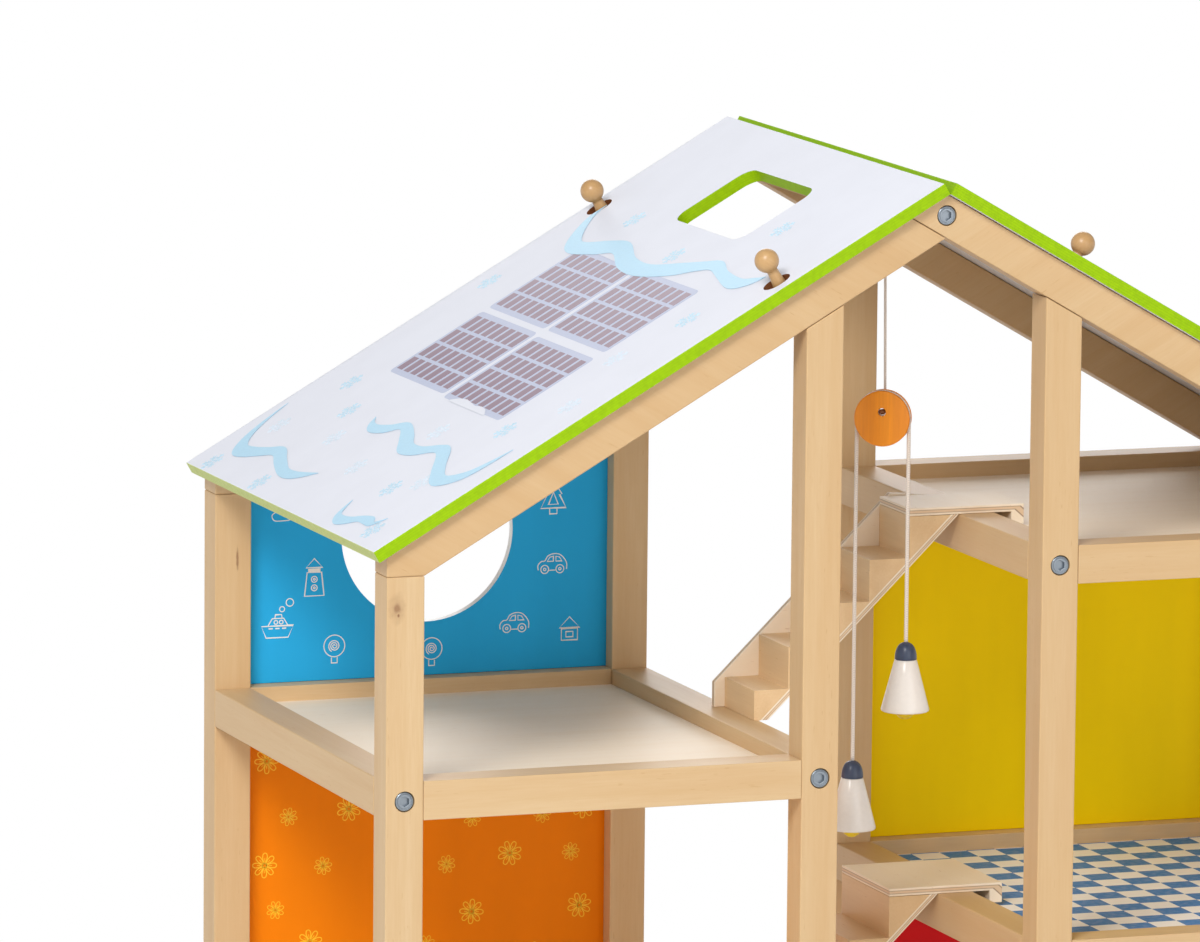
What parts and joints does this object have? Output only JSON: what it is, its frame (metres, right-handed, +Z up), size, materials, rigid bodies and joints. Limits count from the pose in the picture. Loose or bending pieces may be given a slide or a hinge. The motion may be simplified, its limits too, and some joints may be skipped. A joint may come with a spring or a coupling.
{
  "type": "wooden dollhouse",
  "caption": "Open wooden dollhouse in two half-storey wings with painted back walls, lift-off gable roof, hook-on stairs and a pulley lamp.",
  "frame": {"origin": "on the ground under the middle of the house", "axes": "+X to the house's right wing, +Y from the open front to the back walls, +Z up"},
  "size_m": [0.6, 0.307, 0.7349],
  "materials": {
    "stick_wood": "sanded and lacquered birch sticks",
    "plywood": "sanded birch plywood, clear lacquer",
    "roof_paint": "satin white printed film on plywood, lime edges",
    "wall_blue": "printed sky blue, satin",
    "wall_orange": "printed orange, satin",
    "wall_green": "printed leaf green, satin",
    "wall_yellow": "printed mustard yellow, satin",
    "wall_red": "printed red, satin",
    "peg_wood": "turned beech, oiled",
    "pulley_orange": "turned wood, orange stain",
    "lamp_white": "turned wood, off-white lacquer",
    "cord": "braided cotton",
    "zinc": "zinc-plated steel"
  },
  "bodies": {
    "house": {"post_front_left_outer": "stick_wood", "post_front_left_inner": "stick_wood", "post_front_right_outer": "stick_wood", "post_front_right_inner": "stick_wood", "post_back_left_outer": "stick_wood", "post_back_left_inner": "stick_wood", "post_back_right_outer": "stick_wood", "post_back_right_inner": "stick_wood", "rafter_front_left": "stick_wood", "rafter_front_right": "stick_wood", "rafter_back_left": "stick_wood", "rafter_back_right": "stick_wood", "ridge_beam": "stick_wood", "floor_left_upper": "plywood", "side_rail_left_upper_outer": "stick_wood", "side_rail_left_upper_inner": "stick_wood", "floor_left_middle": "plywood", "side_rail_left_middle_outer": "stick_wood", "side_rail_left_middle_inner": "stick_wood", "floor_left_lower": "plywood", "side_rail_left_lower_outer": "stick_wood", "side_rail_left_lower_inner": "stick_wood", "floor_right_upper": "plywood", "side_rail_right_upper_outer": "stick_wood", "side_rail_right_upper_inner": "stick_wood", "floor_right_middle": "plywood", "side_rail_right_middle_outer": "stick_wood", "side_rail_right_middle_inner": "stick_wood", "floor_right_lower": "plywood", "side_rail_right_lower_outer": "stick_wood", "side_rail_right_lower_inner": "stick_wood", "back_wall_left_upper": "wall_blue", "back_wall_left_middle": "wall_orange", "back_wall_left_lower": "wall_green", "back_wall_right_middle": "wall_yellow", "back_wall_right_lower": "wall_red", "peg_front_left": "peg_wood", "peg_front_right": "peg_wood", "peg_back_left": "peg_wood", "peg_back_right": "peg_wood", "screw_eye": "zinc"},
    "roof_left": {"roof_panel_left": "roof_paint"},
    "roof_right": {"roof_panel_right": "roof_paint"},
    "flight_upper": {"stair_soffit_upper": "plywood", "stair_steps_upper": "plywood", "stair_landing_upper": "plywood", "stair_parapet_upper": "plywood"},
    "flight_middle": {"stair_soffit_middle": "plywood", "stair_steps_middle": "plywood", "stair_landing_middle": "plywood"},
    "flight_lower": {"stair_soffit_lower": "plywood", "stair_steps_lower": "plywood", "stair_landing_lower": "plywood"},
    "lamp_hanger": {"hanger_cord": "cord", "lamp_cord_over_pulley": "cord", "pulley_wheel": "pulley_orange"},
    "pendant_left": {"lamp_cord_left": "cord", "lamp_left": "lamp_white"},
    "pendant_right": {"lamp_cord_right": "cord", "lamp_right": "lamp_white"}
  },
  "joints": [
    {"name": "roof_left_lift", "type": "slide", "parent": "house", "child": "roof_left", "axis": [-0.5, 0, 0.866], "range_m": [0, 0.045]},
    {"name": "roof_right_lift", "type": "slide", "parent": "house", "child": "roof_right", "axis": [0.5, 0, 0.866], "range_m": [0, 0.045]},
    {"name": "flight_upper_lift", "type": "slide", "parent": "house", "child": "flight_upper", "axis": [0, 0, 1], "range_m": [0, 0.03]},
    {"name": "flight_middle_lift", "type": "slide", "parent": "house", "child": "flight_middle", "axis": [0, 0, 1], "range_m": [0, 0.03]},
    {"name": "flight_lower_lift", "type": "slide", "parent": "house", "child": "flight_lower", "axis": [0, 0, 1], "range_m": [0, 0.03]},
    {"name": "pulley_twist", "type": "hinge", "parent": "house", "child": "lamp_hanger", "pos_m": [0, -0.066, 0.7], "axis": [0, 0, 1], "range_deg": [-60, 60]},
    {"name": "pendant_left_slide", "type": "slide", "parent": "lamp_hanger", "child": "pendant_left", "axis": [0, 0, 1], "range_m": [-0.09, 0.15], "deforming": ["lamp_cord_left"]},
    {"name": "pendant_right_slide", "type": "slide", "parent": "lamp_hanger", "child": "pendant_right", "axis": [0, 0, 1], "range_m": [-0.15, 0.09], "deforming": ["lamp_cord_right"]}
  ],
  "couplings": [
    {"joint": "pendant_right_slide", "follows": "pendant_left_slide", "ratio": -1}
  ]
}
